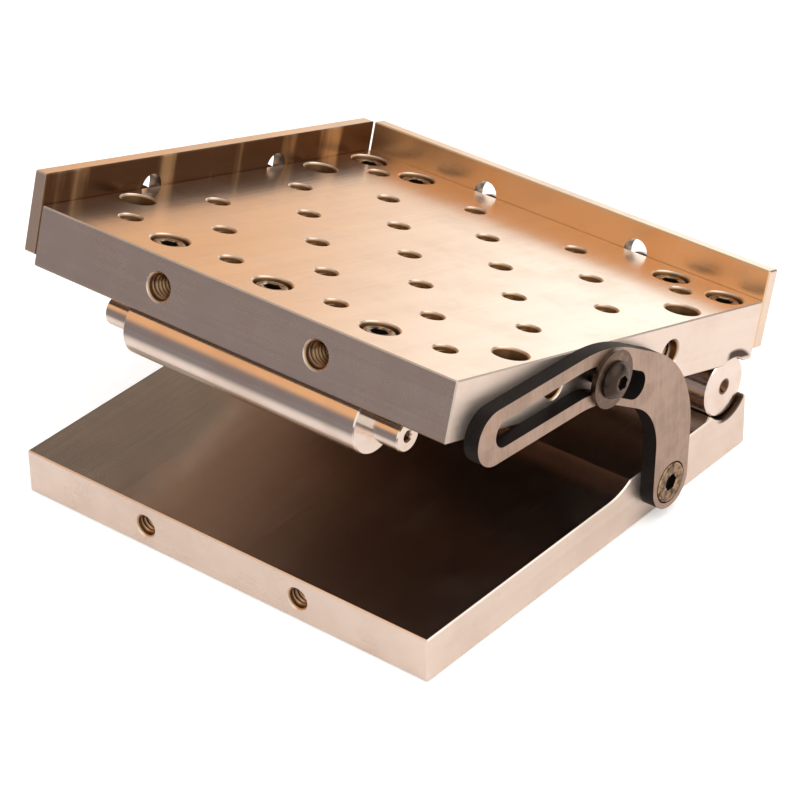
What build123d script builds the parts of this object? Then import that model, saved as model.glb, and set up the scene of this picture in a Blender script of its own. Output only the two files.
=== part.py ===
from build123d import *
from math import cos, hypot, radians, sin
import os

# A sine plate: a top plate hinged to a base, with a sine roll under its free end and a slotted arm that locks the angle.
# X runs from the roll end to the hinge end, the lock arm is on the -Y side and Z is up.
# The origin is the middle of the base's underside. Lengths are in millimetres and angles in degrees.
# The top plate and all that it carries are drawn closed, parallel to the base, and then tilted about the hinge.

# plates
plate_width = 150.0
base_height = 14.0           # the ground floor that gauge blocks stand on
pad_height = 16.7            # the raised pad that carries the hinge
pad_length = 57.5            # flat top of the pad, from the hinge end
runout_radius = 20.0         # where the grinding wheel ran out against the pad
top_thickness = 18.0
edge_break = 0.4

# rolls and hinge
sine_centres = 127.0         # hinge axis to sine roll axis
roll_overhang = 13.475       # the plates' roll end, past the sine roll's axis
roll_diameter = 19.05
roll_sink = 1.8              # how deep the rolls lie in the top plate's underside
sine_roll_length = 84.6
stub_diameter = 9.5
stub_length = 11.3
centre_mark_diameter = 3.8   # centre drilling in the ends of the rolls
hinge_roll_length = 31.4     # each outer roll
hinge_roll_setback = 1.5     # outer rolls' ends, inside the plates' sides
hinge_play = 0.25            # between the outer rolls and the centre roll
groove_clearance = 0.5       # round the outer rolls, in the base
hinge_pin_diameter = 8.0
hinge_pin_length = 110.0
pin_clearance = 0.03

# tilt
rest_tilt = 17.3
full_tilt = 45.0

# screws: thread, head diameter, head height, hexagon across flats
small_screw = (6.35, 9.53, 6.35, 4.76)
large_screw = (7.94, 11.91, 7.94, 6.35)
button_screw = (6.35, 11.1, 3.4, 3.97)
counterbore_diameter = 11.1
counterbore_depth = 7.2
counterbore_chamfer = 0.5
roll_screw_bite = 4.5        # how far the screws reach into a roll
sine_screw_pitch = 38.1
hinge_screw_pitch = 19.05
hinge_foot_screw_pitch = 50.8

# holes of the work surface
grid_pitch = 19.05
grid_thread = 6.35
grid_depth = 14.0
thread_chamfer = 0.6
clamp_hole_diameter = 9.9
clamp_hole_spacing_x = 84.0
clamp_hole_spacing_y = 136.0
side_hole_spacing = 57.15
side_hole_depth = 16.0

# rails
rail_thickness = 4.5
rail_height = 24.2
rail_rise = 9.3              # above the work surface
rail_slot_width = 8.4
rail_slot_travel = 8.8
washer_diameter = 16.0
washer_thickness = 1.6
washer_play = 0.3

# lock arm
arm_thickness = 4.76
arm_width = 16.6
arm_ratio = 1.49             # turn of the arm for each degree of tilt
arm_pivot_x = 30.4
arm_pivot_z = 11.1
lock_screw_x = -9.0          # in the closed top plate
lock_screw_height = 9.75     # above the top plate's underside
lock_screw_reach = 12.0      # into the top plate
lock_screw_play = 0.05
lock_washer_diameter = 17.3
slot_width = 8.5
slot_ease_closed = -0.85     # the slot's middle stands off the screw's path by these four, inside its play
slot_ease_low = 0.85
slot_ease_high = 0.3
slot_ease_full = -0.85
slot_bend_radius = 25.0
slot_head = 4.4              # past the closed position
slot_tail = 22.0             # past the full tilt
arm_tail = 3.6               # middle of the rounded end, past the slot's end
arm_shoulder = 1.9           # the arm's middle, outside the slot's head run
arm_leg_lean = 3.2
arm_knee_radius = 29.4
arm_shoulder_radius = 40.0
pivot_head_diameter = 12.5
pivot_head_height = 3.6
pivot_seat_depth = 3.2
pivot_seat_diameter = 13.1
pivot_shoulder_diameter = 7.94
pivot_clearance = 0.05
pivot_reach = 12.0

roll_radius = roll_diameter / 2
plate_length = roll_overhang + sine_centres + roll_radius
half_length = plate_length / 2
half_width = plate_width / 2
hinge = (half_length - roll_radius, base_height + roll_radius)
sine_roll_x = hinge[0] - sine_centres
top_bottom = hinge[1] + roll_radius - roll_sink
work_surface = top_bottom + top_thickness
top_middle = top_bottom + top_thickness / 2
outer_roll_end = half_width - hinge_roll_setback
outer_roll_start = outer_roll_end - hinge_roll_length
outer_roll_middle = outer_roll_end - hinge_roll_length / 2
centre_roll_length = 2 * (outer_roll_start - hinge_play)

hinge_axis = Axis((hinge[0], 0, hinge[1]), (0, 1, 0))
side_plane = Plane.XZ.offset(half_width)
arm_pivot = (arm_pivot_x, arm_pivot_z, 0)
lock_screw_closed = (lock_screw_x, top_bottom + lock_screw_height)


def tilted(shape):
    # from the closed position to the rest tilt
    return shape.rotate(hinge_axis, rest_tilt)


def turned(point, centre, angle):
    # an (x, z) point turned about a centre, positive as about +Y
    across = point[0] - centre[0]
    up = point[1] - centre[1]
    c = cos(radians(angle))
    s = sin(radians(angle))
    return centre[0] + c * across + s * up, centre[1] - s * across + c * up


def rod(diameter, length, y=0.0, at=hinge):
    # a plain cylinder along Y, centred at y
    return Pos(at[0], y, at[1]) * Rot(90, 0, 0) * Cylinder(diameter / 2, length)


def hole(diameter, depth, chamfer_size):
    # a drilled hole below a face at Z = 0, with a chamfered mouth and a drill point
    radius = diameter / 2
    outline = Polyline(
        (0, 1), (radius + chamfer_size + 1, 1), (radius, -chamfer_size),
        (radius, -depth), (0, -depth - 0.6 * radius), close=True)
    return revolve(Plane.XZ * make_face(outline), Axis.Z)


def screw_hole(screw, depth):
    # a counterbore below a face at Z = 0, and the screw's own hole on down to depth
    bore = counterbore_diameter / 2
    mouth = bore + 2 * counterbore_chamfer
    thread = screw[0] / 2
    outline = Polyline(
        (0, counterbore_chamfer), (mouth, counterbore_chamfer), (bore, -counterbore_chamfer),
        (bore, -counterbore_depth), (thread, -counterbore_depth), (thread, -depth), (0, -depth), close=True)
    return revolve(Plane.XZ * make_face(outline), Axis.Z)


def cap_screw(screw, reach):
    # a socket head cap screw with its head's underside at Z = 0 and its shank reaching down
    thread, head, height, flats = screw
    body = Cylinder(head / 2, height, align=(Align.CENTER, Align.CENTER, Align.MIN))
    body += Cylinder(thread / 2, reach, align=(Align.CENTER, Align.CENTER, Align.MAX))
    socket = RegularPolygon(flats / 2, 6, major_radius=False)
    return body - Pos(0, 0, height) * extrude(socket, -0.55 * height)


def washer(outer, screw, thickness=washer_thickness):
    # a flat washer that stands on Z = 0
    ring = Circle(outer / 2) - Circle(screw[0] / 2 + washer_play)
    return extrude(ring, thickness)


def along(plane, points):
    # one location on a plane for each local point
    return [plane * Pos(*point) for point in points]


def placed(shape, locations):
    return [location * shape for location in locations]


def group(shapes):
    return Compound([shape.solid() for shape in shapes])


# base plate, with its hinge pad and the wheel's run-out in front of it
pad_start = half_length - pad_length
step = pad_height - base_height
runout = (runout_radius ** 2 - (runout_radius - step) ** 2) ** 0.5
runout_start = pad_start - runout
base_outline = Polyline(
    (pad_start, pad_height), (half_length, pad_height), (half_length, 0), (-half_length, 0),
    (-half_length, base_height), (runout_start, base_height))
base_runout = TangentArc((runout_start, base_height), (pad_start, pad_height), tangent=(1, 0))
base_face = make_face([*base_outline.edges(), base_runout])
base_plate = extrude(Plane.XZ * base_face, half_width, both=True)
inner_edges = base_plate.edges().filter_by(Axis.Y).filter_by_position(Axis.X, runout_start - 1, pad_start + 1)
base_plate = chamfer(base_plate.edges() - inner_edges, edge_break)
base_plate -= rod(roll_diameter, plate_width)
groove_length = half_width - outer_roll_start + hinge_play
for side in (-1, 1):
    groove_middle = side * (half_width - groove_length / 2)
    base_plate -= rod(roll_diameter + 2 * groove_clearance, groove_length, groove_middle)

# the base's tapped holes: two in the roll end, the arm's pivot, and the hinge's screws from below
roll_end_plane = Plane((-half_length, 0, 0), x_dir=(0, -1, 0), z_dir=(-1, 0, 0))
base_hole_points = [(side * side_hole_spacing / 2, base_height / 2) for side in (-1, 1)]
base_plate -= placed(hole(grid_thread, side_hole_depth, thread_chamfer), along(roll_end_plane, base_hole_points))
pivot_place = side_plane * Pos(*arm_pivot)
base_plate -= pivot_place * hole(small_screw[0], pivot_reach, 0)
foot_reach = base_height - counterbore_depth + roll_screw_bite
underside = Plane((hinge[0], 0, 0), x_dir=(1, 0, 0), z_dir=(0, 0, -1))
foot_places = along(underside, [(0, -hinge_foot_screw_pitch / 2), (0, hinge_foot_screw_pitch / 2)])
foot_hole = screw_hole(small_screw, counterbore_depth + foot_reach)
base_plate -= placed(foot_hole, foot_places)

# top plate, closed: grooves for the rolls, then every hole
top_box = Box(plate_length, plate_width, top_thickness, align=(Align.CENTER, Align.CENTER, Align.MIN))
top_plate = Pos(0, 0, top_bottom) * chamfer(top_box.edges(), edge_break)
sine_axis = (sine_roll_x, hinge[1])
for axis in (hinge, sine_axis):
    top_plate -= rod(roll_diameter, plate_width, at=axis)

surface = Plane((0, 0, work_surface))
grid_points = []
for column in range(-3, 4):
    rows = (-3, -1, 1, 3) if column % 2 else (-2, 0, 2)
    grid_points += [(column * grid_pitch, row * grid_pitch) for row in rows]
top_plate -= placed(hole(grid_thread, grid_depth, thread_chamfer), along(surface, grid_points))

clamp_points = [(x * clamp_hole_spacing_x / 2, y * clamp_hole_spacing_y / 2) for x in (-1, 1) for y in (-1, 1)]
clamp_hole = hole(clamp_hole_diameter, top_thickness, thread_chamfer)
top_plate -= placed(clamp_hole, along(surface, clamp_points))

sine_screw_points = [(sine_roll_x, row * sine_screw_pitch) for row in (-1, 0, 1)]
hinge_screw_rows = [side * (outer_roll_middle + half * hinge_screw_pitch / 2) for side in (-1, 1) for half in (-1, 1)]
hinge_screw_points = [(hinge[0], row) for row in hinge_screw_rows]
roll_screw_reach = top_thickness - roll_sink - counterbore_depth + roll_screw_bite
roll_screw_hole = screw_hole(small_screw, counterbore_depth + roll_screw_reach)
sine_screw_places = along(surface, sine_screw_points)
hinge_screw_places = along(surface, hinge_screw_points)
top_plate -= placed(roll_screw_hole, sine_screw_places + hinge_screw_places)

# tapped holes in the middle of the top plate's four sides, and the lock screw's hole
large_side_hole = hole(large_screw[0], side_hole_depth, thread_chamfer)
rail_hole = hole(large_screw[0], side_hole_depth, 0)
side_points = [(side * side_hole_spacing / 2, top_middle) for side in (-1, 1)]
far_plane = Plane((0, half_width, 0), x_dir=(-1, 0, 0), z_dir=(0, 1, 0))
hinge_end_plane = Plane((half_length, 0, 0), x_dir=(0, 1, 0), z_dir=(1, 0, 0))
top_plate -= placed(large_side_hole, along(side_plane, side_points) + along(roll_end_plane, side_points))
top_plate -= placed(rail_hole, along(far_plane, side_points) + along(hinge_end_plane, side_points))
lock_place_closed = side_plane * Pos(*lock_screw_closed)
top_plate -= lock_place_closed * hole(button_screw[0] + 2 * lock_screw_play, lock_screw_reach, 0)

# rolls, pin and their screws
roll_end = sine_roll_length / 2
stub_end = roll_end + stub_length
mark = centre_mark_diameter / 2
half_roll = Polyline(
    (0, 0), (roll_radius, 0), (roll_radius, roll_end - edge_break), (roll_radius - edge_break, roll_end),
    (stub_diameter / 2, roll_end), (stub_diameter / 2, stub_end - edge_break),
    (stub_diameter / 2 - edge_break, stub_end), (mark, stub_end), (0, stub_end - mark), close=True)
half_sine_roll = revolve(make_face(half_roll), Axis.Y)
sine_roll = Pos(sine_roll_x, 0, hinge[1]) * (half_sine_roll + mirror(half_sine_roll, Plane.XZ))
roll_thread = Cylinder(small_screw[0] / 2, 2 * roll_screw_bite)
roll_top = Plane((0, 0, hinge[1] + roll_radius))
sine_roll -= placed(roll_thread, along(roll_top, sine_screw_points))

pin_bore = rod(hinge_pin_diameter + 2 * pin_clearance, hinge_pin_length)
outer_outline = Polyline(
    (0, 0), (roll_radius, 0), (roll_radius, hinge_roll_length - edge_break),
    (roll_radius - edge_break, hinge_roll_length), (mark, hinge_roll_length), (0, hinge_roll_length - mark), close=True)
outer_roll = Pos(hinge[0], outer_roll_start, hinge[1]) * revolve(make_face(outer_outline), Axis.Y)
hinge_roll_far = outer_roll - pin_bore - placed(roll_thread, along(roll_top, hinge_screw_points))
hinge_roll_near = mirror(hinge_roll_far, Plane.XZ)
hinge_roll_centre = rod(roll_diameter, centre_roll_length) - rod(hinge_pin_diameter, centre_roll_length)
roll_foot = Plane((0, 0, hinge[1] - roll_radius))
foot_points = [(hinge[0], side * hinge_foot_screw_pitch / 2) for side in (-1, 1)]
hinge_roll_centre -= placed(roll_thread, along(roll_foot, foot_points))
hinge_pin = rod(hinge_pin_diameter, hinge_pin_length)

roll_screw = cap_screw(small_screw, roll_screw_reach)
seat = Pos(0, 0, -counterbore_depth)
sine_roll_screws = group(placed(seat * roll_screw, sine_screw_places))
hinge_roll_screws = group(placed(seat * roll_screw, hinge_screw_places))
hinge_foot_screws = group(placed(seat * cap_screw(small_screw, foot_reach), foot_places))


# rails: stops that slide on two screws each, raised above the work surface
def rail(length):
    # drawn on the plane it is screwed to, in that plane's own axes
    middle = work_surface + rail_rise - rail_height / 2
    blank = Pos(0, middle) * Box(length, rail_height, rail_thickness, align=(Align.CENTER, Align.CENTER, Align.MIN))
    blank = chamfer(blank.edges(), edge_break)
    slot = Pos(0, rail_slot_travel / 2) * SlotCenterToCenter(rail_slot_travel, rail_slot_width, rotation=90)
    slot = extrude(slot, rail_thickness)
    return blank - [Pos(*point) * slot for point in side_points]


rail_screw_reach = side_hole_depth - 2.0
rail_screw = Pos(0, 0, rail_thickness + washer_thickness) * cap_screw(
    large_screw, rail_thickness + washer_thickness + rail_screw_reach)
rail_washer = Pos(0, 0, rail_thickness) * washer(washer_diameter, large_screw)
side_rail = far_plane.location * rail(plate_length)
end_rail = hinge_end_plane.location * rail(plate_width)
side_rail_screws = group(placed(rail_screw, along(far_plane, side_points)))
side_rail_washers = group(placed(rail_washer, along(far_plane, side_points)))
end_rail_screws = group(placed(rail_screw, along(hinge_end_plane, side_points)))
end_rail_washers = group(placed(rail_washer, along(hinge_end_plane, side_points)))


# lock arm: its slot follows the path that the lock screw draws on it as the top plate tilts
def screw_in_arm(tilt):
    # where the lock screw stands on the arm, with the arm laid in its rest position
    on_plate = turned(lock_screw_closed, hinge, tilt)
    return turned(on_plate, arm_pivot, arm_ratio * (rest_tilt - tilt))


def slot_point(tilt, ease):
    # the screw's path, eased sideways inside the slot's play
    before = screw_in_arm(tilt - 1)
    after = screw_in_arm(tilt + 1)
    across = after[0] - before[0]
    up = after[1] - before[1]
    path = screw_in_arm(tilt)
    stride = hypot(across, up)
    return Vector(path[0] - ease * up / stride, path[1] + ease * across / stride)


# two straight runs, each laid through two points of the path, and an arc between them
low_tilt = 0.4 * full_tilt
high_tilt = 0.8 * full_tilt
slot_closed = slot_point(0, slot_ease_closed)
slot_low = slot_point(low_tilt, slot_ease_low)
slot_high = slot_point(high_tilt, slot_ease_high)
slot_full = slot_point(full_tilt, slot_ease_full)
head_run = Axis(slot_low, slot_closed - slot_low)
tail_run = Axis(slot_high, slot_full - slot_high)
head_end = slot_closed + head_run.direction * slot_head
tail_end = slot_full + tail_run.direction * slot_tail
slot_line = FilletPolyline(head_end, head_run.intersect(tail_run), tail_end, radius=slot_bend_radius)

leg_run = Axis(arm_pivot, (sin(radians(arm_leg_lean)), cos(radians(arm_leg_lean)), 0))
shoulder_run = Axis(slot_low + head_run.direction.rotate(Axis.Z, 90) * arm_shoulder, head_run.direction)
arm_knee = leg_run.intersect(shoulder_run)
arm_bend = shoulder_run.intersect(tail_run)
arm_end = tail_end + tail_run.direction * arm_tail
arm_line = FilletPolyline(arm_pivot, arm_knee, arm_bend, arm_end, radius=[arm_knee_radius, arm_shoulder_radius])
arm_face = SlotArc(arm_line, arm_width)
lock_arm = extrude(arm_face - SlotArc(slot_line, slot_width), arm_thickness)
pivot_bore = Cylinder(pivot_shoulder_diameter / 2 + pivot_clearance, 4 * arm_thickness)
pivot_seat = Cylinder(pivot_seat_diameter / 2, pivot_seat_depth, align=(Align.CENTER, Align.CENTER, Align.MAX))
lock_arm -= Pos(*arm_pivot) * (pivot_bore + Pos(0, 0, arm_thickness) * pivot_seat)
lock_arm = side_plane.location * lock_arm

pivot_floor = arm_thickness - pivot_seat_depth
arm_pivot_screw = cap_screw((small_screw[0], pivot_head_diameter, pivot_head_height, small_screw[3]), pivot_floor + pivot_reach)
arm_pivot_screw += Cylinder(pivot_shoulder_diameter / 2, pivot_floor, align=(Align.CENTER, Align.CENTER, Align.MAX))
arm_pivot_screw = pivot_place * Pos(0, 0, pivot_floor) * arm_pivot_screw

lock_washer = lock_place_closed * Pos(0, 0, arm_thickness) * washer(lock_washer_diameter, button_screw)
lock_screw = lock_place_closed * Pos(0, 0, arm_thickness + washer_thickness) * cap_screw(
    button_screw, arm_thickness + washer_thickness + lock_screw_reach)

fixed = {
    "base_plate": base_plate,
    "hinge_roll_centre": hinge_roll_centre,
    "hinge_pin": hinge_pin,
    "hinge_foot_screws": hinge_foot_screws,
    "arm_pivot_screw": arm_pivot_screw,
    "lock_arm": lock_arm,
}
tilting = {
    "top_plate": top_plate,
    "sine_roll": sine_roll,
    "sine_roll_screws": sine_roll_screws,
    "hinge_roll_near": hinge_roll_near,
    "hinge_roll_far": hinge_roll_far,
    "hinge_roll_screws": hinge_roll_screws,
    "side_rail": side_rail,
    "side_rail_screws": side_rail_screws,
    "side_rail_washers": side_rail_washers,
    "end_rail": end_rail,
    "end_rail_screws": end_rail_screws,
    "end_rail_washers": end_rail_washers,
    "lock_washer": lock_washer,
    "lock_screw": lock_screw,
}

os.makedirs("parts", exist_ok=True)
for name, piece in fixed.items():
    export_step(piece, f"parts/{name}.step")
for name, piece in tilting.items():
    export_step(tilted(piece), f"parts/{name}.step")
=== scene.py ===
import bpy
from math import cos, pi, radians, sin
from mathutils import Matrix, Vector


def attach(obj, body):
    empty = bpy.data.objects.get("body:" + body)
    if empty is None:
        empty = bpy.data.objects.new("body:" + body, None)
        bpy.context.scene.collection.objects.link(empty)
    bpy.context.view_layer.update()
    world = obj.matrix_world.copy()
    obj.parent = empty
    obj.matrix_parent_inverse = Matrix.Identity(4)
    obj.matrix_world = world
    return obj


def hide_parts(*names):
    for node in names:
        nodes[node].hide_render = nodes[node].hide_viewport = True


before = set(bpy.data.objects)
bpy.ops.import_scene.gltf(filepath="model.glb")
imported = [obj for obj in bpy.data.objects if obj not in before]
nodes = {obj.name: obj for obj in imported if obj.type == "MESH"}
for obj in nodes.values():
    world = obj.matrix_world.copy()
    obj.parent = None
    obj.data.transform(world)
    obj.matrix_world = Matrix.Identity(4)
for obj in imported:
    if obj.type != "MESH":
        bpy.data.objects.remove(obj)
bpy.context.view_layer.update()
mm = 0.001
perMetre = 1000
print("frame loaded:", len(nodes), "nodes")


# where things are: the plate's own sizes in millimetres, before it is tilted

plate = {
    "tilt": 17.3,  # degrees, as it stands in the rest position
    "hinge": (65.475, 0.0, 23.525),
    "halfLength": 75.0,
    "halfWidth": 75.0,
    "baseHeight": 14.0,
    "topBottom": 31.25,
    "workSurface": 49.25,
    "topMiddle": 40.25,
    "sineRollX": -61.525,
    "counterbore": 7.2,
    "railFace": 81.1,  # where the rail screws' heads sit, from the middle
    "sideHoles": (-28.575, 28.575),
    "baseHoleHeight": 7.0,
    "sineScrews": (-38.1, 0, 38.1),
    "hingeScrews": (-67.325, -48.275, 48.275, 67.325),
    "footScrews": (-25.4, 25.4),
    "lockScrew": (-9.0, -81.36, 41.0),  # under the heads of the lock screw and of the arm's pivot screw
    "pivotScrew": (30.4, -76.56, 11.1),
    "gridPitch": 19.05,
}
hingePoint = Vector(plate["hinge"]) * mm
tiltTurn = Matrix.Rotation(radians(plate["tilt"]), 4, "Y")
tiltPlate = Matrix.Translation(hingePoint) @ tiltTurn @ Matrix.Translation(-hingePoint)


def onPlate(x, y, z, axis):
    # a point and direction of the closed plate, taken along to the rest tilt
    return tiltPlate @ (Vector((x, y, z)) * mm), tiltTurn @ Vector(axis)


def onBase(x, y, z, axis):
    return Vector((x, y, z)) * mm, Vector(axis)


# node maths

class Wire:
    # an output socket of a node tree, so that sums and products of sockets read as plain maths
    def __init__(self, tree, socket=None):
        self.tree = tree
        self.socket = socket

    def node(self, kind, settings={}, inputs={}, output=0):
        # any node: its own settings by name, its inputs by identifier
        made = self.tree.nodes.new(kind)
        for name, value in settings.items():
            setattr(made, name, value)
        for name, value in inputs.items():
            target = next(s for s in made.inputs if s.identifier == name)
            if isinstance(value, Wire):
                self.tree.links.new(value.socket, target)
            else:
                target.default_value = value
        return Wire(self.tree, made.outputs[output] if made.outputs else None)

    def maths(self, operation, first, second=0.0):
        kind = "ShaderNodeMath"
        return self.node(kind, {"operation": operation}, {"Value": first, "Value_001": second})

    def __add__(self, other): return self.maths("ADD", self, other)
    def __radd__(self, other): return self.maths("ADD", other, self)
    def __sub__(self, other): return self.maths("SUBTRACT", self, other)
    def __rsub__(self, other): return self.maths("SUBTRACT", other, self)
    def __mul__(self, other): return self.maths("MULTIPLY", self, other)
    def __rmul__(self, other): return self.maths("MULTIPLY", other, self)
    def __truediv__(self, other): return self.maths("DIVIDE", self, other)
    def __rtruediv__(self, other): return self.maths("DIVIDE", other, self)

    def ramped(self, low, high):
        # a smooth step from 0 at the low value to 1 at the high one
        return self.node("ShaderNodeMapRange", {"interpolation_type": "SMOOTHSTEP"}, {
            "Value": self, "From Min": low, "From Max": high})

    def size(self):
        return self.maths("ABSOLUTE", self)

    def parts(self):
        split = self.node("ShaderNodeSeparateXYZ", {}, {"Vector": self})
        return [Wire(self.tree, s) for s in split.socket.node.outputs]

    def noise(self, scale, detail=3.0, rough=0.5, stretch=(1, 1, 1)):
        placed = self.node("ShaderNodeMapping", {}, {"Vector": self, "Scale": stretch})
        return self.node("ShaderNodeTexNoise", {}, {
            "Vector": placed, "Scale": scale, "Detail": detail, "Roughness": rough})

    def blended(self, first, second):
        # first where this mask is 0, second where it is 1
        return self.node("ShaderNodeMix", {"data_type": "RGBA"}, {
            "Factor_Float": self, "A_Color": asColor(first), "B_Color": asColor(second)}, 2)


def asColor(value):
    return value if isinstance(value, Wire) else (*value, 1)


def newMaterial(name):
    material = bpy.data.materials.new(name)
    material.use_nodes = True
    material.node_tree.nodes.clear()
    return material, Wire(material.node_tree)


def closeMaterial(wire, surface):
    wire.node("ShaderNodeOutputMaterial", {}, {"Surface": surface})


def inPlate(wire, tilt):
    # millimetres along the plate's own length, width and height, however it is tilted
    back = Matrix.Rotation(radians(-tilt), 3, "Y")
    hinge = Vector(plate["hinge"])
    place = wire.node("ShaderNodeTexCoord", {}, {}, 3)
    return place.node("ShaderNodeMapping", {}, {
        "Vector": place, "Location": hinge - back @ hinge,
        "Rotation": (0, radians(-tilt), 0), "Scale": (perMetre, perMetre, perMetre)})


# steel finishes

groundLook = {
    "color": (0.80, 0.71, 0.63),
    "shade": (0.66, 0.55, 0.46),  # where oil and handling have dulled it
    "holeMouth": (0.50, 0.30, 0.155),
    # painted shade deep in holes and grooves
    "holeDeep": (0.09, 0.05, 0.028),
    # painted shade for the gaps round the outer rolls
    "paintedGapShade": (0.055, 0.03, 0.018),
    "roughness": 0.20,
    "sideRoughness": 0.36,
    "lineDepth": 0.02,
    "under": (0.22, 0.15, 0.11),  # the undersides, painted darker as shade
    "speck": (0.42, 0.34, 0.27),
    "scratch": (0.92, 0.88, 0.84),
}


def groundSteel(name, tilt, low, high):
    # surface ground steel: fine lines along the plate, cross lines on its ends, painted shade down in its
    # holes
    material, wire = newMaterial(name)
    place = inPlate(wire, tilt)
    x, y, z = place.parts()
    normal = wire.node("ShaderNodeTexCoord", {}, {}, 1)
    turned = normal.node("ShaderNodeMapping", {"vector_type": "VECTOR"}, {
        "Vector": normal, "Rotation": (0, radians(-tilt), 0)})
    facing = turned.parts()
    endFace = (facing[0] * facing[0]).ramped(0.5, 0.8)
    level = (facing[2] * facing[2]).ramped(0.5, 0.8)
    along = place.noise(1.0, 1.0, 0.5, (0.012, 1.1, 1.1))
    across = place.noise(1.0, 1.0, 0.5, (1.1, 0.012, 1.1))
    lines = along * (1 - endFace) + across * endFace
    passes = place.noise(1.0, 2.0, 0.5, (0.004, 0.12, 0.12))
    haze = place.noise(0.045, 4.0, 0.62).ramped(0.42, 0.68)
    specks = place.noise(0.5, 2.0, 0.5).ramped(0.68, 0.74)
    dulled = haze * 0.35 + passes.ramped(0.35, 0.65) * 0.2
    tint = dulled.blended(groundLook["color"], groundLook["shade"])
    tint = (specks * 0.10).blended(tint, groundLook["speck"])
    tint = (lines.ramped(0.3, 0.7) * 0.10).blended(tint, groundLook["scratch"])
    # painted shade: faces turned downward are darker
    tint = (0 - facing[2]).ramped(0.4, 0.8).blended(tint, groundLook["under"])

    # what lies inside the plate's own box is a hole or a groove: brown at the mouth, then painted shade
    # that darkens with depth
    depth = wire.maths("MINIMUM", plate["halfLength"] - x.size(), plate["halfWidth"] - y.size())
    depth = wire.maths("MINIMUM", depth, wire.maths("MINIMUM", high - z, z - low))
    inside = depth.ramped(0.1, 0.5)
    mouthToShade = depth.ramped(0.8, 6.0).blended(groundLook["holeMouth"], groundLook["holeDeep"])
    tint = inside.blended(tint, mouthToShade)

    # painted shade of the gaps round the outer rolls: over them on the top plate, under them on the base
    fromHinge = x - plate["hinge"][0]
    overHinge = z - plate["hinge"][2]
    away = wire.maths("SQRT", fromHinge * fromHinge + overHinge * overHinge)
    stainAndGapShade = away.ramped(9.4, 10.0) * (1 - away.ramped(11.6, 12.8))
    stainAndGapShade = stainAndGapShade * overHinge.ramped(8.5, 9.6) * fromHinge.ramped(-5.0, -2.5)
    tint = stainAndGapShade.blended(tint, groundLook["paintedGapShade"])
    crescent = away.ramped(9.6, 10.0) * (1 - away.ramped(10.7, 11.5))
    crescent = crescent * (1 - overHinge.ramped(-3.0, 0.0)) * fromHinge.ramped(-6.0, -2.0)
    tint = crescent.blended(tint, groundLook["paintedGapShade"])

    smoother = groundLook["roughness"] - groundLook["sideRoughness"]
    rough = groundLook["sideRoughness"] + level * smoother
    rough = rough + (lines - 0.5) * 0.05 + haze * 0.05 + inside * 0.12 - endFace * 0.11
    bump = wire.node("ShaderNodeBump", {}, {
        "Height": lines, "Strength": groundLook["lineDepth"], "Distance": 0.0004})
    steel = wire.node("ShaderNodeBsdfPrincipled", {}, {
        "Base Color": tint, "Metallic": 1.0, "Roughness": rough, "Normal": bump})
    closeMaterial(wire, steel)
    return material


railLook = {
    "color": (0.78, 0.66, 0.55),
    "sideFilmAndReflection": (0.15, 0.072, 0.034),  # the face toward the work: brown oil film with painted reflection
    "endFilmAndReflection": (0.80, 0.57, 0.35),
    "blotch": (0.80, 0.52, 0.28),
    "stainAndGapShade": (0.60, 0.47, 0.36),
    "roughness": 0.30,
}


def railSteel(name, film):
    # ground stops; the face toward the work is brown, partly old oil and partly painted reflection, broken
    # by upright blotches
    material, wire = newMaterial(name)
    place = inPlate(wire, plate["tilt"])
    x, y, z = place.parts()
    inner = wire.maths("MAXIMUM", x, y)
    inner = 1 - inner.ramped(plate["halfWidth"] + 0.25, plate["halfWidth"] + 0.5)
    lines = place.noise(1.0, 3.0, 0.6, (0.05, 0.05, 2.2))
    blotches = place.noise(1.0, 3.0, 0.55, (0.075, 0.075, 0.012)).ramped(0.5, 0.66)
    stains = place.noise(0.06, 3.0, 0.6).ramped(0.4, 0.7)
    outer = (stains * 0.4).blended(railLook["color"], railLook["stainAndGapShade"])
    # the inner face's colour is partly oil film and partly painted reflection
    oiledAndReflected = (blotches * 0.75).blended(film, railLook["blotch"])
    tint = inner.blended(outer, oiledAndReflected)
    rough = railLook["roughness"] + (lines - 0.5) * 0.14 + stains * 0.06
    bump = wire.node("ShaderNodeBump", {}, {"Height": lines, "Strength": 0.05, "Distance": 0.0004})
    steel = wire.node("ShaderNodeBsdfPrincipled", {}, {
        "Base Color": tint, "Metallic": 1.0, "Roughness": rough, "Normal": bump})
    closeMaterial(wire, steel)
    return material


lappedLook = {
    "color": (0.84, 0.76, 0.69),
    "film": (0.66, 0.54, 0.44),
    "mark": (0.10, 0.05, 0.025),  # down in the centre marks
    "hingeMark": 2.5,  # the marks' radius in millimetres
    "sineMark": 1.5,
    "roughness": 0.15,
}


def lappedSteel(name, tilt, axisX, markRadius):
    # the rolls: rings left by lapping, a faint film of oil, and dark within the centre marks
    material, wire = newMaterial(name)
    place = inPlate(wire, tilt)
    x, y, z = place.parts()
    rings = place.noise(1.0, 3.0, 0.6, (0.02, 2.6, 0.02))
    film = place.noise(0.08, 3.0, 0.55).ramped(0.4, 0.7)
    tint = (film * 0.4).blended(lappedLook["color"], lappedLook["film"])
    across = x - axisX
    up = z - plate["hinge"][2]
    away = wire.maths("SQRT", across * across + up * up)
    tint = away.ramped(markRadius - 0.3, markRadius + 0.4).blended(lappedLook["mark"], tint)
    rough = lappedLook["roughness"] + (rings - 0.5) * 0.12 + film * 0.05
    bump = wire.node("ShaderNodeBump", {}, {"Height": rings, "Strength": 0.04, "Distance": 0.0003})
    steel = wire.node("ShaderNodeBsdfPrincipled", {}, {
        "Base Color": tint, "Metallic": 1.0, "Roughness": rough, "Normal": bump})
    closeMaterial(wire, steel)
    return material


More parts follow.
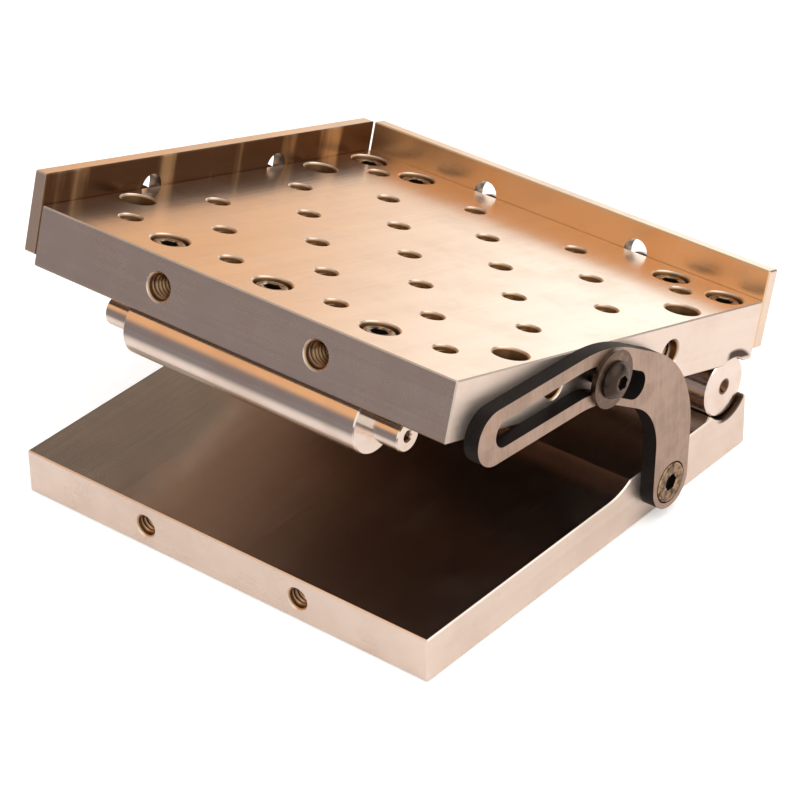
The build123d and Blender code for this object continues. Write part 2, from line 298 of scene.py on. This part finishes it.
armLook = {
    "face": (0.40, 0.29, 0.225),
    "dull": (0.27, 0.19, 0.145),
    "bright": (0.50, 0.42, 0.36),
    "edge": (0.008, 0.006, 0.006),
    "soot": (0.022, 0.017, 0.014),
    "facePlane": -79.7,  # mm, the ground face begins here
}


def armSteel(name):
    # blackened all over, then its face ground clean
    material, wire = newMaterial(name)
    place = inPlate(wire, 0)
    y = place.parts()[1]
    ground = 1 - y.ramped(armLook["facePlane"], armLook["facePlane"] + 0.03)
    lines = place.noise(1.0, 3.0, 0.6, (1.4, 1.0, 0.05))
    patches = place.noise(0.12, 4.0, 0.6).ramped(0.4, 0.65)
    grains = place.noise(2.5, 3.0, 0.6)
    face = (patches * 0.5).blended(armLook["face"], armLook["dull"])
    face = (lines.ramped(0.35, 0.65) * 0.25).blended(face, armLook["bright"])
    edge = grains.ramped(0.4, 0.75).blended(armLook["edge"], armLook["soot"])
    tint = ground.blended(edge, face)
    rough = 0.50 - ground * 0.12 + (grains - 0.5) * 0.15 + patches * 0.06
    bump = wire.node("ShaderNodeBump", {}, {
        "Height": grains + lines * ground, "Strength": 0.12, "Distance": 0.0003})
    steel = wire.node("ShaderNodeBsdfPrincipled", {}, {
        "Base Color": tint, "Metallic": 0.10 + ground * 0.85, "Roughness": rough, "Normal": bump,
        "Specular IOR Level": 0.12})
    closeMaterial(wire, steel)
    return material


washerLook = {
    "plain": (0.46, 0.43, 0.41),
    "plainScuffed": (0.30, 0.27, 0.25),
    "lock": (0.13, 0.09, 0.07),
    "lockScuffed": (0.32, 0.22, 0.15),
    "roughness": 0.30,
}


def washerSteel(name, color, scuffed):
    # satin washers with a few scuffs from tightening
    material, wire = newMaterial(name)
    place = inPlate(wire, 0)
    grains = place.noise(1.6, 3.0, 0.6)
    scuffs = place.noise(0.35, 4.0, 0.65).ramped(0.5, 0.7)
    tint = (scuffs * 0.6).blended(color, scuffed)
    rough = washerLook["roughness"] + (grains - 0.5) * 0.2 + scuffs * 0.1
    bump = wire.node("ShaderNodeBump", {}, {"Height": grains, "Strength": 0.08, "Distance": 0.0003})
    steel = wire.node("ShaderNodeBsdfPrincipled", {}, {
        "Base Color": tint, "Metallic": 1.0, "Roughness": rough, "Normal": bump})
    closeMaterial(wire, steel)
    return material


screwLook = {"black": (0.045, 0.030, 0.022), "wornAndReflected": (0.66, 0.44, 0.26), "roughness": 0.30}


def screwSteel(name, headRadius, headHeight, socketRadius):
    # black oxide, rubbed through to warm bare steel along the rims; the warm top face is partly wear and
    # partly painted reflection
    material, wire = newMaterial(name)
    turned = wire.node("ShaderNodeAttribute", {"attribute_name": "turned"}, {}, 1)
    marks = turned.parts()
    radius, height = marks[0], marks[2]
    place = inPlate(wire, 0)
    grains = place.noise(3.0, 3.0, 0.6)
    broad = place.noise(0.5, 3.0, 0.6)
    rim = 1 - (radius - headRadius).size().ramped(0.0, 0.7)
    top = 1 - (height - headHeight).size().ramped(0.0, 0.6)
    mouth = 1 - (radius - socketRadius).size().ramped(0.0, 0.6)
    wearAndReflection = (rim * top + mouth * top) * broad.ramped(0.35, 0.6)
    # warm top face: partly wear, partly painted reflection
    wearAndReflection = wearAndReflection + top * broad.ramped(0.3, 0.7) * 0.55
    tint = wearAndReflection.blended(screwLook["black"], screwLook["wornAndReflected"])
    rough = screwLook["roughness"] + (grains - 0.5) * 0.25
    bump = wire.node("ShaderNodeBump", {}, {"Height": grains, "Strength": 0.10, "Distance": 0.0003})
    steel = wire.node("ShaderNodeBsdfPrincipled", {}, {
        "Base Color": tint, "Metallic": 0.85, "Roughness": rough, "Normal": bump})
    closeMaterial(wire, steel)
    return material


threadLook = {"valley": (0.07, 0.04, 0.022), "crest": (0.38, 0.24, 0.135), "roughness": 0.28}


def threadSteel(name):
    # cut threads: brown crests, dark between them
    material, wire = newMaterial(name)
    place = inPlate(wire, 0)
    turned = wire.node("ShaderNodeAttribute", {"attribute_name": "turned"}, {}, 1)
    crest = turned.parts()[0]
    grains = place.noise(2.0, 3.0, 0.6)
    tint = crest.ramped(0.1, 0.9).blended(threadLook["valley"], threadLook["crest"])
    rough = threadLook["roughness"] + (grains - 0.5) * 0.2
    steel = wire.node("ShaderNodeBsdfPrincipled", {}, {
        "Base Color": tint, "Metallic": 1.0, "Roughness": rough})
    closeMaterial(wire, steel)
    return material


groundTop = groundSteel("plateSteel", plate["tilt"], plate["topBottom"], plate["workSurface"])
groundBase = groundSteel("baseSteel", 0, 0.0, plate["baseHeight"])
hingeTop = lappedSteel("hingeRollSteel", plate["tilt"], plate["hinge"][0], lappedLook["hingeMark"])
washers = washerSteel("washerSteel", washerLook["plain"], washerLook["plainScuffed"])
threads = threadSteel("threadSteel")
finishes = {
    "top_plate": groundTop, "base_plate": groundBase,
    "side_rail": railSteel("sideRailSteel", railLook["sideFilmAndReflection"]),
    "end_rail": railSteel("endRailSteel", railLook["endFilmAndReflection"]),
    "sine_roll": lappedSteel("sineRollSteel", plate["tilt"], plate["sineRollX"], lappedLook["sineMark"]),
    "hinge_roll_near": hingeTop, "hinge_roll_far": hingeTop,
    "hinge_roll_centre": lappedSteel("centreRollSteel", 0, plate["hinge"][0], lappedLook["hingeMark"]),
    "hinge_pin": washers,
    "side_rail_washers": washers, "end_rail_washers": washers,
    "lock_washer": washerSteel("lockWasherSteel", washerLook["lock"], washerLook["lockScuffed"]),
    "lock_arm": armSteel("armSteel"),
}
for nodeName, finish in finishes.items():
    nodes[nodeName].data.materials[0] = finish
print("steel finishes made")


# geometry node trees

sharpAngle = 0.6  # radians between faces, sharper edges aren't smoothed
sameRadius = 0.00001
samePoint = 0.000001
buried = 0.00003  # how deep a thread's foot lies in the hole's wall
ridgeShare = 0.94  # of the pitch


def newTree(name, sizes):
    # a tree with one named input for each size, and the wires that bring them in
    tree = bpy.data.node_groups.new(name, "GeometryNodeTree")
    tree.interface.new_socket("Geometry", in_out="INPUT", socket_type="NodeSocketGeometry")
    tree.interface.new_socket("Geometry", in_out="OUTPUT", socket_type="NodeSocketGeometry")
    for size, kind in sizes.items():
        tree.interface.new_socket(size, in_out="INPUT", socket_type="NodeSocket" + kind)
    given = tree.nodes.new("NodeGroupInput")
    return tree, {s.name: Wire(tree, s) for s in given.outputs if s.name}


def rowAndColumn(wire, columns):
    # a grid's vertices are numbered row by row
    index = wire.node("GeometryNodeInputIndex")
    row = index.node("ShaderNodeMath", {"operation": "FLOOR"}, {"Value": (index + 0.5) / columns})
    return row, index - row * columns


def copiesAtPlaces(given, shape):
    # smooth shading with sharp corners, one copy at each place, along its axis
    smooth = shape.node("GeometryNodeSetShadeSmooth", {"domain": "FACE"}, {"Geometry": shape})
    angle = shape.node("GeometryNodeInputMeshEdgeAngle")
    sharp = angle.node("FunctionNodeCompare", {"operation": "GREATER_THAN"}, {"A": angle, "B": sharpAngle})
    shape = smooth.node("GeometryNodeSetShadeSmooth", {"domain": "EDGE"}, {
        "Geometry": smooth, "Selection": sharp, "Shade Smooth": False})
    axis = shape.node("GeometryNodeInputNamedAttribute", {"data_type": "FLOAT_VECTOR"}, {"Name": "axis"})
    turn = axis.node("FunctionNodeAlignRotationToVector", {"axis": "Z"}, {"Vector": axis})
    points = shape.node("GeometryNodeMeshToPoints", {}, {"Mesh": given["Geometry"]})
    copies = shape.node("GeometryNodeInstanceOnPoints", {}, {
        "Points": points, "Instance": shape, "Rotation": turn})
    real = copies.node("GeometryNodeRealizeInstances", {}, {"Geometry": copies})
    done = real.node("GeometryNodeSetMaterial", {}, {"Geometry": real, "Material": given["Material"]})
    done.node("NodeGroupOutput", {}, {done.tree.interface.items_tree[0].identifier: done})


def bakedPiece(name, tree, places, sizes):
    # runs a tree on a set of places and keeps the result as one plain mesh
    mesh = bpy.data.meshes.new(name + "Places")
    mesh.from_pydata([tuple(point) for point, axis in places], [], [])
    axes = mesh.attributes.new("axis", "FLOAT_VECTOR", "POINT")
    axes.data.foreach_set("vector", [value for point, axis in places for value in axis])
    carrier = bpy.data.objects.new(name + "Places", mesh)
    bpy.context.scene.collection.objects.link(carrier)
    modifier = carrier.modifiers.new("build", "NODES")
    modifier.node_group = tree
    for item in tree.interface.items_tree:
        if item.in_out == "INPUT" and item.name in sizes:
            modifier[item.identifier] = sizes[item.name]
    evaluated = carrier.evaluated_get(bpy.context.evaluated_depsgraph_get())
    result = bpy.data.meshes.new_from_object(evaluated)
    result.name = name
    carrier.modifiers.clear()
    bpy.data.objects.remove(carrier)
    piece = bpy.data.objects.new(name, result)
    bpy.context.scene.collection.objects.link(piece)
    print(name, "has", len(result.polygons), "faces")
    return piece


# a turned part: an outline of radius and height spun round, with a hexagon socket and a knurled head
turnedTree, given = newTree("turnedPart", {
    "Outline": "Object", "Segments": "Int", "Socket Radius": "Float", "Head Radius": "Float",
    "Flutes": "Int", "Flute Depth": "Float", "Material": "Material"})
wire = Wire(turnedTree)
outline = wire.node("GeometryNodeObjectInfo", {}, {"Object": given["Outline"]}, 4)
rows = wire.node("GeometryNodeAttributeDomainSize", {"component": "MESH"}, {"Geometry": outline})
columns = given["Segments"] + 1
grid = wire.node("GeometryNodeMeshGrid", {}, {"Vertices X": rows, "Vertices Y": columns})
row, column = rowAndColumn(wire, columns)
corner = wire.node("GeometryNodeInputPosition")
corner = wire.node("GeometryNodeSampleIndex", {"data_type": "FLOAT_VECTOR"}, {
    "Geometry": outline, "Value": corner, "Index": row})
radius, height = corner.parts()[:2]
angle = column / given["Segments"] * (2 * pi)
side = wire.node("ShaderNodeMath", {"operation": "PINGPONG"}, {"Value": angle, "Value_001": pi / 6})
hexagon = 1 / wire.node("ShaderNodeMath", {"operation": "COSINE"}, {"Value": pi / 6 - side})
inSocket = wire.node("ShaderNodeMath", {"operation": "COMPARE"}, {
    "Value": radius, "Value_001": given["Socket Radius"], "Value_002": sameRadius})
onHead = wire.node("ShaderNodeMath", {"operation": "COMPARE"}, {
    "Value": radius, "Value_001": given["Head Radius"], "Value_002": sameRadius})
wave = wire.node("ShaderNodeMath", {"operation": "COSINE"}, {"Value": angle * given["Flutes"]})
spun = radius * (1 + inSocket * (hexagon - 1)) - onHead * given["Flute Depth"] * (0.5 - wave * 0.5)
x = spun * wire.node("ShaderNodeMath", {"operation": "COSINE"}, {"Value": angle})
y = spun * wire.node("ShaderNodeMath", {"operation": "SINE"}, {"Value": angle})
place = wire.node("ShaderNodeCombineXYZ", {}, {"X": x, "Y": y, "Z": height})
shape = wire.node("GeometryNodeSetPosition", {}, {"Geometry": grid, "Position": place})
marks = wire.node("ShaderNodeCombineXYZ", {}, {"X": spun * perMetre, "Y": angle, "Z": height * perMetre})
shape = shape.node("GeometryNodeStoreNamedAttribute", {"data_type": "FLOAT_VECTOR", "domain": "POINT"}, {
    "Geometry": shape, "Name": "turned", "Value": marks})
shape = shape.node("GeometryNodeMergeByDistance", {}, {"Geometry": shape, "Distance": samePoint})
copiesAtPlaces(given, shape)

# a cut thread: one ridge that winds down a hole and fades out at both ends
threadTree, given = newTree("cutThread", {
    "Hole Radius": "Float", "Ridge": "Float", "Pitch": "Float", "Turns": "Int", "Segments": "Int",
    "Start": "Float", "Material": "Material"})
wire = Wire(threadTree)
steps = given["Turns"] * given["Segments"]
grid = wire.node("GeometryNodeMeshGrid", {}, {"Vertices X": steps + 1, "Vertices Y": 4})
row, column = rowAndColumn(wire, 4)
angle = row / given["Segments"] * (2 * pi)
ends = wire.node("ShaderNodeMath", {"operation": "MINIMUM"}, {"Value": row, "Value_001": steps - row})
fade = (ends / given["Segments"]).ramped(0.0, 0.5)
crest = wire.node("ShaderNodeMath", {"operation": "COMPARE"}, {
    "Value": column, "Value_001": 1.0, "Value_002": 0.1})
lower = wire.node("ShaderNodeMath", {"operation": "COMPARE"}, {
    "Value": column, "Value_001": 2.0, "Value_002": 0.1})
inward = given["Hole Radius"] + buried - crest * fade * given["Ridge"]
drop = (lower + crest * 0.5 - 0.5) * fade * given["Pitch"] * ridgeShare
x = inward * wire.node("ShaderNodeMath", {"operation": "COSINE"}, {"Value": angle})
y = inward * wire.node("ShaderNodeMath", {"operation": "SINE"}, {"Value": angle})
z = 0 - given["Start"] - angle / (2 * pi) * given["Pitch"] - drop
place = wire.node("ShaderNodeCombineXYZ", {}, {"X": x, "Y": y, "Z": z})
shape = wire.node("GeometryNodeSetPosition", {}, {"Geometry": grid, "Position": place})
marks = wire.node("ShaderNodeCombineXYZ", {}, {"X": crest, "Y": angle, "Z": z})
shape = shape.node("GeometryNodeStoreNamedAttribute", {"data_type": "FLOAT_VECTOR", "domain": "POINT"}, {
    "Geometry": shape, "Name": "turned", "Value": marks})
shape = shape.node("GeometryNodeMergeByDistance", {}, {"Geometry": shape, "Distance": samePoint})
copiesAtPlaces(given, shape)
print("geometry node trees built")


# screws

def outlineObject(name, points):
    mesh = bpy.data.meshes.new(name)
    edges = [(i, i + 1) for i in range(len(points) - 1)]
    mesh.from_pydata([(r * mm, h * mm, 0) for r, h in points], edges, [])
    made = bpy.data.objects.new(name, mesh)
    bpy.context.scene.collection.objects.link(made)
    return made


def capOutline(size):
    # from the bottom of the socket out over the head and down the shank
    r, h = size["headRadius"], size["headHeight"]
    hexagon, shank = size["socketRadius"], size["threadRadius"]
    floor = h * 0.45
    return [
        (0, floor - 0.3), (hexagon, floor), (hexagon, h - 0.25), (hexagon + 0.55, h),
        (r - 0.75, h), (r - 0.35, h - 0.10), (r - 0.12, h - 0.32), (r, h - 0.62), (r, 0.45),
        (r - 0.15, 0.15), (r - 0.35, 0), (shank + 0.3, 0), (shank, -0.3),
        (shank, -size["reach"]), (0, -size["reach"])]


def buttonOutline(size):
    # the same with a domed head
    r, h = size["headRadius"], size["headHeight"]
    hexagon, shank = size["socketRadius"], size["threadRadius"]
    floor = h * 0.45
    rim = 0.25
    dome = [(r * sin(radians(a)), rim + (h - rim) * cos(radians(a))) for a in (34, 44, 54, 64, 73, 81, 87)]
    top = rim + (h - rim) * cos(radians(30))
    return [
        (0, floor - 0.3), (hexagon, floor), (hexagon, h * 0.86), (hexagon + 0.35, top), *dome,
        (r, rim), (r - 0.12, 0), (shank + 0.1, 0), (shank, -0.2),
        (shank, -size["reach"]), (0, -size["reach"])]


def shoulderOutline(size):
    # a cap screw with a plain shoulder above its thread
    points = capOutline(size)
    shoulder = size["shoulderRadius"]
    return points[:-4] + [
        (shoulder, 0), (shoulder, -size["shoulder"]), (size["threadRadius"], -size["shoulder"]),
        (size["threadRadius"], -size["reach"]), (0, -size["reach"])]


def turnedScrews(name, size, makeOutline, places, body, replaced):
    shape = outlineObject(name + "Outline", makeOutline(size))
    head, socket = size["headRadius"], size["socketRadius"]
    # one piece of equal screws, in place of the CAD's own
    piece = bakedPiece(name, turnedTree, places, {
        "Outline": shape, "Segments": size["segments"],
        "Socket Radius": socket * mm, "Head Radius": head * mm,
        "Flutes": size["flutes"], "Flute Depth": size["fluteDepth"] * mm,
        "Material": screwSteel(name + "Steel", head, size["headHeight"], socket)})
    bpy.data.objects.remove(shape)
    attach(piece, body)
    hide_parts(*replaced)


smallScrew = {  # millimetres
    "threadRadius": 3.175, "headRadius": 4.765, "headHeight": 6.35, "socketRadius": 2.38, "reach": 13.5,
    "segments": 144, "flutes": 48, "fluteDepth": 0.13,
}
largeScrew = {
    "threadRadius": 3.97, "headRadius": 5.955, "headHeight": 7.94, "socketRadius": 3.175, "reach": 20.1,
    "segments": 168, "flutes": 56, "fluteDepth": 0.14,
}
lockScrew = {
    "threadRadius": 3.175, "headRadius": 5.55, "headHeight": 3.4, "socketRadius": 1.985, "reach": 18.36,
    "segments": 96, "flutes": 1, "fluteDepth": 0.0,
}
pivotScrew = {
    "threadRadius": 3.175, "headRadius": 6.25, "headHeight": 3.6, "socketRadius": 2.38, "reach": 13.56,
    "shoulderRadius": 3.97, "shoulder": 1.56, "segments": 144, "flutes": 1, "fluteDepth": 0.0,
}

hingeX = plate["hinge"][0]
seat = plate["workSurface"] - plate["counterbore"]
platePlaces = [onPlate(plate["sineRollX"], y, seat, (0, 0, 1)) for y in plate["sineScrews"]]
platePlaces += [onPlate(hingeX, y, seat, (0, 0, 1)) for y in plate["hingeScrews"]]
plateNodes = ["sine_roll_screws", "hinge_roll_screws"]
turnedScrews("plateScrews", smallScrew, capOutline, platePlaces, "top", plateNodes)
footPlaces = [onBase(hingeX, y, plate["counterbore"], (0, 0, -1)) for y in plate["footScrews"]]
footScrew = smallScrew | {"reach": 11.3}
turnedScrews("footScrews", footScrew, capOutline, footPlaces, "base", ["hinge_foot_screws"])
reachOut, middle = plate["railFace"], plate["topMiddle"]
railPlaces = [onPlate(x, reachOut, middle, (0, 1, 0)) for x in plate["sideHoles"]]
railPlaces += [onPlate(reachOut, y, middle, (1, 0, 0)) for y in plate["sideHoles"]]
railNodes = ["side_rail_screws", "end_rail_screws"]
turnedScrews("railScrews", largeScrew, capOutline, railPlaces, "top", railNodes)
lockPlaces = [onPlate(*plate["lockScrew"], (0, -1, 0))]
turnedScrews("lockScrew", lockScrew, buttonOutline, lockPlaces, "lock", ["lock_screw"])
pivotPlaces = [onBase(*plate["pivotScrew"], (0, -1, 0))]
turnedScrews("pivotScrew", pivotScrew, shoulderOutline, pivotPlaces, "base", ["arm_pivot_screw"])
print("screws made")


# cut threads in the tapped holes

smallThread = {
    "Hole Radius": 3.175 * mm, "Ridge": 0.62 * mm, "Pitch": 1.27 * mm, "Start": 1.5 * mm,
    "Turns": 9, "Segments": 20,
}
largeThread = {
    "Hole Radius": 3.97 * mm, "Ridge": 0.70 * mm, "Pitch": 1.411 * mm, "Start": 1.6 * mm,
    "Turns": 9, "Segments": 24,
}
pitch = plate["gridPitch"]
gridPlaces = []
for column in range(-3, 4):
    for row in ((-3, -1, 1, 3) if column % 2 else (-2, 0, 2)):
        gridPlaces.append(onPlate(column * pitch, row * pitch, plate["workSurface"], (0, 0, 1)))
sidePlaces = [onPlate(x, -plate["halfWidth"], middle, (0, -1, 0)) for x in plate["sideHoles"]]
sidePlaces += [onPlate(-plate["halfLength"], y, middle, (-1, 0, 0)) for y in plate["sideHoles"]]
baseHole = plate["baseHoleHeight"]
basePlaces = [onBase(-plate["halfLength"], y, baseHole, (-1, 0, 0)) for y in plate["sideHoles"]]
for name, size, places, body in (
        ("gridThreads", smallThread, gridPlaces, "top"), ("sideThreads", largeThread, sidePlaces, "top"),
        ("baseThreads", smallThread, basePlaces, "base")):
    piece = bakedPiece(name, threadTree, places, size | {"Material": threads})
    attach(piece, body)
print("threads cut")


# floor, light and camera

room = {
    "floorColor": (0.88, 0.87, 0.86),
    "floorGrain": (0.90, 0.895, 0.89),
    "floorRadius": 0.55,
    "floorGlow": 0.32,
    "floorMirrored": (0.97, 0.87, 0.83),  # the floor as the polished faces show it
    "floorFar": (0.20, 0.175, 0.18),
    "bright": (1.05, 1.03, 0.99),
    "window": (1.50, 1.47, 1.38),  # what brightens the work surface toward the hinge
    "tan": (0.90, 0.50, 0.25),
    "dark": (0.15, 0.125, 0.105),
    "grey": (0.26, 0.215, 0.215),
    "brown": (0.10, 0.05, 0.025),
    "ceiling": (0.62, 0.57, 0.52),
}
walls = {  # degrees of turn from X and of rise: where each begins and ends, each as a soft edge
    "window": ((-16, 4), (40, 50), (-16, -6), (18, 32)),
    "back": ((29, 37), (95, 125), (-14, -6), (40, 58)),
    "left": ((112, 132), (200, 210), (-30, -14), (45, 62)),
    "right": ((-62, -44), (-16, 4), (-4, 2), (20, 34)),
}
material, wire = newMaterial("paleFloor")
place = wire.node("ShaderNodeTexCoord", {}, {}, 3)
grain = place.noise(160.0, 3.0, 0.5)
tint = grain.ramped(0.3, 0.7).blended(room["floorColor"], room["floorGrain"])
lightPath = wire.node("ShaderNodeLightPath")
seen, mirrored = lightPath, Wire(wire.tree, lightPath.socket.node.outputs[3])
farLeft = (0 - place.parts()[0]).ramped(0.09, 0.19)
tint = mirrored.blended(tint, farLeft.blended(room["floorMirrored"], room["floorFar"]))
bump = wire.node("ShaderNodeBump", {}, {"Height": grain, "Strength": 0.03, "Distance": 0.0005})
matte = wire.node("ShaderNodeBsdfPrincipled", {}, {"Base Color": tint, "Roughness": 0.85, "Normal": bump})
glow = wire.node("ShaderNodeEmission", {}, {"Color": (1, 1, 1, 1), "Strength": seen * room["floorGlow"]})
closeMaterial(wire, wire.node("ShaderNodeAddShader", {}, {"Shader": matte, "Shader_001": glow}))
bpy.ops.mesh.primitive_circle_add(vertices=96, radius=room["floorRadius"], fill_type="NGON")
floor = bpy.context.object
floor.name = "floor"
floor.data.materials.append(material)

# the world: white to the camera and to the floor, a studio with dim warm walls to the polished faces
world = bpy.data.worlds.new("studio")
bpy.context.scene.world = world
world.use_nodes = True
world.node_tree.nodes.clear()
wire = Wire(world.node_tree)
toward = wire.node("ShaderNodeTexCoord", {}, {}, 0)
x, y, z = toward.parts()
turn = wire.maths("ARCTAN2", y, x) * (180 / pi)
rise = wire.maths("ARCSINE", z) * (180 / pi)


def wall(name):
    begins, ends, foot, head = walls[name]
    return turn.ramped(*begins) * (1 - turn.ramped(*ends)) * rise.ramped(*foot) * (1 - rise.ramped(*head))


shown = rise.ramped(30, 60).blended(room["bright"], room["ceiling"])
shown = wall("window").blended(shown, room["window"])
shown = wall("back").blended(shown, rise.ramped(16, 30).blended(room["tan"], room["dark"]))
shown = wall("left").blended(shown, rise.ramped(8, 26).blended(room["grey"], room["tan"]))
shown = wall("right").blended(shown, room["brown"])
lightPath = wire.node("ShaderNodeLightPath")
mirrored = Wire(wire.tree, lightPath.socket.node.outputs[3])
shown = mirrored.blended((1, 1, 1), shown)
back = wire.node("ShaderNodeBackground", {}, {"Color": shown, "Strength": 1.0})
wire.node("ShaderNodeOutputWorld", {}, {"Surface": back})

lamps = {
    "key": {"at": (0.35, -0.75, 0.85), "size": 1.3, "power": 5.2, "color": (1.0, 0.97, 0.94)},
    "fill": {"at": (-0.85, 0.10, 0.60), "size": 0.6, "power": 1.0, "color": (1.0, 0.95, 0.90)},
}
for name, lamp in lamps.items():
    light = bpy.data.lights.new(name, "AREA")
    light.size = lamp["size"]
    light.energy = lamp["power"]
    light.color = lamp["color"]
    holder = bpy.data.objects.new(name, light)
    bpy.context.scene.collection.objects.link(holder)
    holder.location = lamp["at"]
    holder.rotation_euler = (-Vector(lamp["at"])).to_track_quat("-Z", "Y").to_euler()

photoView = {
    "sensor": 36,  # millimetres
    "lens": 158.288,
    "at": (-0.660117, -0.556649, 0.582737),
    "turned": (57.03917, 0.90250, -50.66783),  # degrees
}
eye = bpy.data.cameras.new("photoCamera")
eye.sensor_width = photoView["sensor"]
eye.lens = photoView["lens"]
eye.clip_start = 0.05
cameraObject = bpy.data.objects.new("photoCamera", eye)
bpy.context.scene.collection.objects.link(cameraObject)
cameraObject.location = photoView["at"]
cameraObject.rotation_euler = [radians(angle) for angle in photoView["turned"]]
bpy.context.scene.camera = cameraObject
bpy.context.scene.view_settings.view_transform = "Standard"
print("floor, light and camera placed")
